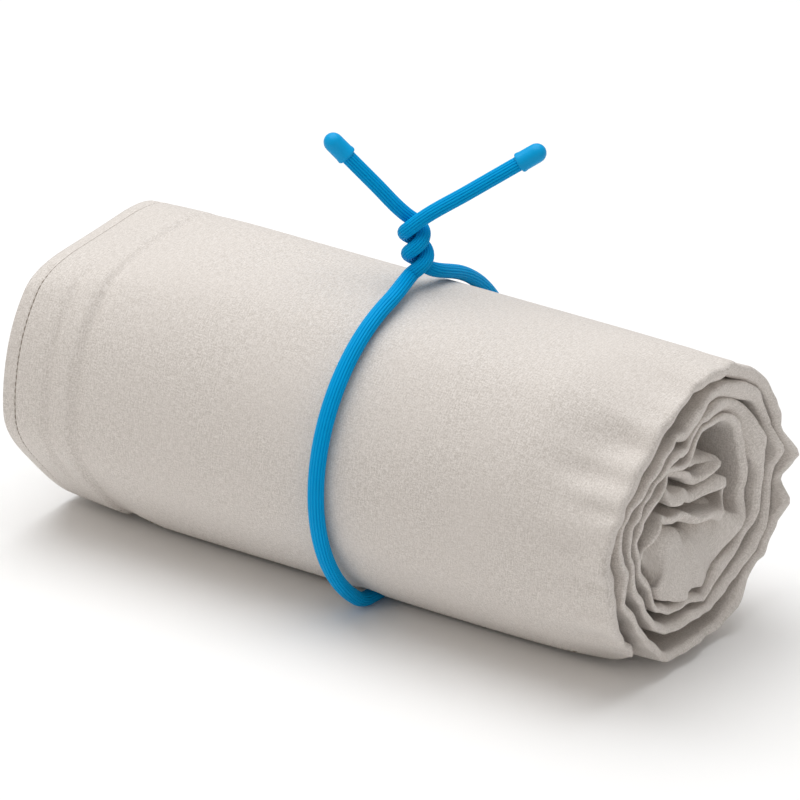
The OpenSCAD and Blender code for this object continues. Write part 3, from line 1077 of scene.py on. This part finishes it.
def cap_profile():
    """A bullet: a rolled lip, a slightly tapered barrel and a blunt nose."""
    r = CAP_D / 2
    lip = [(r * 0.80, 0), (r * 0.93, 0.05 * MM), (r * 0.99, 0.4 * MM), (r, 0.9 * MM), (r * 0.985, 1.5 * MM)]
    barrel = [(r * 0.955, 2.2 * MM), (r * 0.95, 5 * MM), (r * 0.945, CAP_L - r)]
    nose = []
    for a in np.linspace(0, math.pi / 2, 14)[1:]:
        nose.append((max(r * 0.945 * math.cos(a), 0.05 * MM), CAP_L - r + r * math.sin(a)))
    return lip + barrel + nose


def add_tail(which, azimuth, rise, length, start, end):
    """A tail from the twist outward: its root half, its tip half and its cap. Angles are in degrees.

    start is where its strand begins in the twist, and end says which end of the tie's line it carries on.
    """
    azimuth, rise = math.radians(azimuth), math.radians(rise)
    direction = np.array(
        [math.cos(azimuth) * math.cos(rise), math.sin(azimuth) * math.cos(rise), math.sin(rise)]
    )
    side = np.array([-math.sin(azimuth), math.cos(azimuth), 0])
    leaving = twist_direction(start, TWIST_TURNED)
    strand_end = twist_point(start, TWIST_TURNED)
    root = strand_end + ROOT_STEP * leaving
    middle = root + direction * length * TAIL_ROOT_SHARE
    before_middle = middle - direction * BEND_HALF
    cap_base = root + direction * (length - CAP_L)

    tail_rubber = tail_piece(
        f"{which}_tail_rubber", strand_end, before_middle, leaving, direction, side,
        tie_frames[end], STRAND_T / 2,
    )
    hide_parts(f"{which}_tail_sleeve")
    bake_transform(tail_rubber)

    tip_rubber = tail_piece(
        f"{which}_tip_rubber", before_middle, cap_base + direction * CAP_SOCKET, direction, direction, side,
        (side, side), STRAND_W / 2,
    )
    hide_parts(f"{which}_tip_sleeve")
    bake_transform(tip_rubber)

    cap = lathe(f"{which}_end_cap", cap_base, direction, cap_profile())
    finish_piece(cap, CAP_RUBBER)
    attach(cap, f"{which}_tip")
    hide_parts(f"{which}_cap")


add_tail("left", azimuth=213, rise=47, length=49 * MM, start=BACK_TWIST, end=-1)
add_tail("right", azimuth=35, rise=32, length=63 * MM, start=FRONT_TWIST, end=0)

for name, node in frame["nodes"].items():
    if name.endswith("_core") and name != "foam_core":
        node.data.materials.clear()
        node.data.materials.append(STEEL)

# ---------------------------------------------------------------- floor, lights and camera

CAMERA_AZIMUTH, CAMERA_ELEVATION = 35, 24.5
CAMERA_DISTANCE = 3.5
# What the picture's width spans at the origin, and the place there that is in its middle
FRAME_WIDTH = 346.4 * MM
LOOK_RIGHT, LOOK_UP = 3.25 * MM, 72.9 * MM
ROLL_MIDDLE = (0, 0, 0.06)
OPEN_END = (0.16, 0, 0.06)


def add_floor():
    bpy.ops.mesh.primitive_plane_add(size=8, location=(0, 0, 0))
    floor = bpy.context.object
    floor.name = "floor"
    m = Nodes("pale_floor", Roughness=0.9)
    place = m.add("TexCoord").outputs["Object"]
    tone = m.mix(m.noise(place, (3, 3, 3)), colour(250, 250, 250), colour(252, 252, 252))
    m.link(tone, m.shader.inputs["Base Color"])
    floor.data.materials.append(m.material)


def add_area_light(name, place, target, size, power, tint):
    data = bpy.data.lights.new(name, "AREA")
    data.shape = "SQUARE"
    data.size = size
    data.energy = power
    data.color = tint
    light = bpy.data.objects.new(name, data)
    light.location = place
    light.rotation_euler = (Vector(target) - Vector(place)).to_track_quat("-Z", "Y").to_euler()
    bpy.context.scene.collection.objects.link(light)


def add_camera():
    """A long lens that looks down at the roll's open end and front."""
    azimuth, elevation = math.radians(CAMERA_AZIMUTH), math.radians(CAMERA_ELEVATION)
    right = Vector((math.cos(azimuth), math.sin(azimuth), 0))
    level = math.cos(elevation)
    back = Vector((math.sin(azimuth) * level, -math.cos(azimuth) * level, math.sin(elevation)))
    up = back.cross(right)
    data = bpy.data.cameras.new("camera")
    data.lens = CAMERA_DISTANCE * data.sensor_width / FRAME_WIDTH
    data.clip_end = 20
    camera = bpy.data.objects.new("camera", data)
    camera.location = right * LOOK_RIGHT + up * LOOK_UP + back * CAMERA_DISTANCE
    camera.rotation_mode = "QUATERNION"
    camera.rotation_quaternion = (-back).to_track_quat("-Z", "Y")
    bpy.context.scene.collection.objects.link(camera)
    bpy.context.scene.camera = camera


add_floor()
add_area_light("top_softbox", (-0.25, 0.15, 1.5), ROLL_MIDDLE, size=1.6, power=23, tint=(0.98, 0.99, 1))
add_area_light("front_fill", (-0.9, -1.6, 0.9), ROLL_MIDDLE, size=1.2, power=3, tint=(1, 0.88, 0.74))
add_area_light("end_fill", (1.5, -0.7, 0.7), OPEN_END, size=0.9, power=1, tint=(1, 0.9, 0.8))
add_camera()

world = bpy.data.worlds.new("studio")
world.use_nodes = True
background = world.node_tree.nodes["Background"]
background.inputs["Color"].default_value = (1, 0.98, 0.955, 1)
background.inputs["Strength"].default_value = 0.39
bpy.context.scene.world = world
bpy.context.scene.view_settings.view_transform = "Standard"
